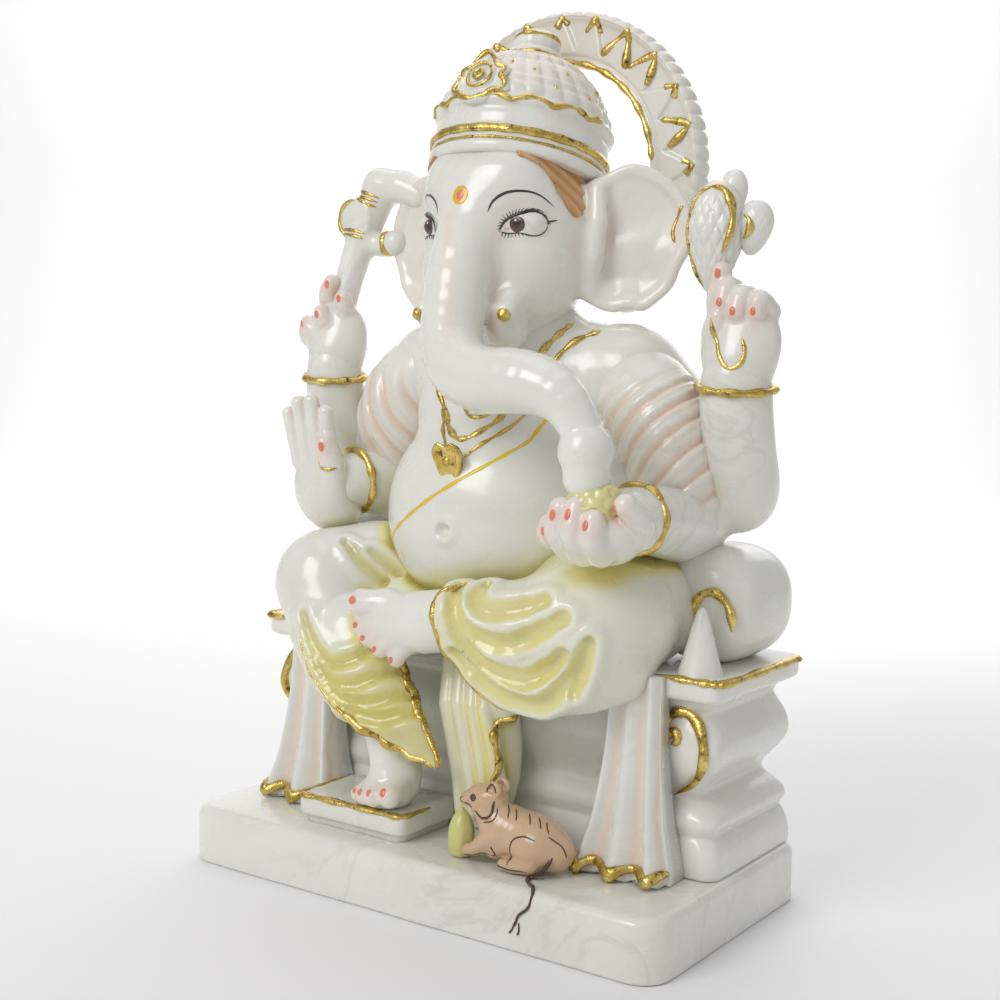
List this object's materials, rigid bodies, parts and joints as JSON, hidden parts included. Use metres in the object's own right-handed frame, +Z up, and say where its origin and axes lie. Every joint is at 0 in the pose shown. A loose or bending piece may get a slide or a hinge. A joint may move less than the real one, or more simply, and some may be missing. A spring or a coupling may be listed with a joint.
{
  "type": "ganesha idol",
  "caption": "Seated Ganesha murti in polished white marble with painted and gilded carving, on a throne with bolsters, ring halo and rectangular plinth.",
  "frame": {"origin": "middle of the plinth's underside, on the surface that the murti stands on", "axes": "+Z up through the figure, +Y towards the back, so the figure faces -Y; +X is the figure's left"},
  "size_m": [0.1914, 0.104, 0.3019],
  "materials": {
    "white_marble": "polished white marble with faint grey clouds",
    "peach_wash": "polished marble with a thin peach wash in the folds",
    "yellow_wash": "polished marble with a thin yellow wash in the folds",
    "gold_leaf": "gold leaf over carved relief, rubbed dark in the hollows",
    "hair_paint": "marble painted orange tan",
    "mouse_paint": "marble painted tan with brown line work",
    "sweet_paint": "marble painted yellow"
  },
  "bodies": {
    "root": {"ankle_cuff": "gold_leaf", "crown": "white_marble", "crown_band": "gold_leaf", "crown_crest": "gold_leaf", "crown_knob": "white_marble", "dhoti_hem": "gold_leaf", "footstool": "white_marble", "goad": "white_marble", "halo": "white_marble", "halo_rim": "gold_leaf", "head": "white_marble", "laddu": "sweet_paint", "left_back_arm": "white_marble", "left_back_bangle": "gold_leaf", "left_back_hand": "white_marble", "left_bolster": "white_marble", "left_bolster_tassel": "white_marble", "left_cloth_fall": "peach_wash", "left_ear": "white_marble", "left_foot": "white_marble", "left_front_arm": "white_marble", "left_front_bangle": "gold_leaf", "left_front_hand": "white_marble", "left_hair": "hair_paint", "left_leg": "yellow_wash", "left_leg_drape": "yellow_wash", "left_scroll": "gold_leaf", "left_shawl": "peach_wash", "left_slab_trim": "gold_leaf", "left_tusk": "white_marble", "lotus_bud": "white_marble", "lotus_side_bud": "white_marble", "mouse": "mouse_paint", "mouse_sweet": "sweet_paint", "necklace": "gold_leaf", "pendant": "gold_leaf", "plinth": "white_marble", "right_back_arm": "white_marble", "right_back_bangle": "gold_leaf", "right_back_hand": "white_marble", "right_bolster": "white_marble", "right_bolster_tassel": "white_marble", "right_cloth_fall": "peach_wash", "right_ear": "white_marble", "right_foot": "white_marble", "right_front_arm": "white_marble", "right_front_bangle": "gold_leaf", "right_front_hand": "white_marble", "right_hair": "hair_paint", "right_leg": "yellow_wash", "right_scroll": "gold_leaf", "right_shawl": "peach_wash", "right_slab_trim": "gold_leaf", "right_tusk": "white_marble", "sash": "yellow_wash", "seat_slab": "white_marble", "throne_body": "white_marble", "torso": "white_marble", "trunk": "white_marble"}
  },
  "joints": []
}
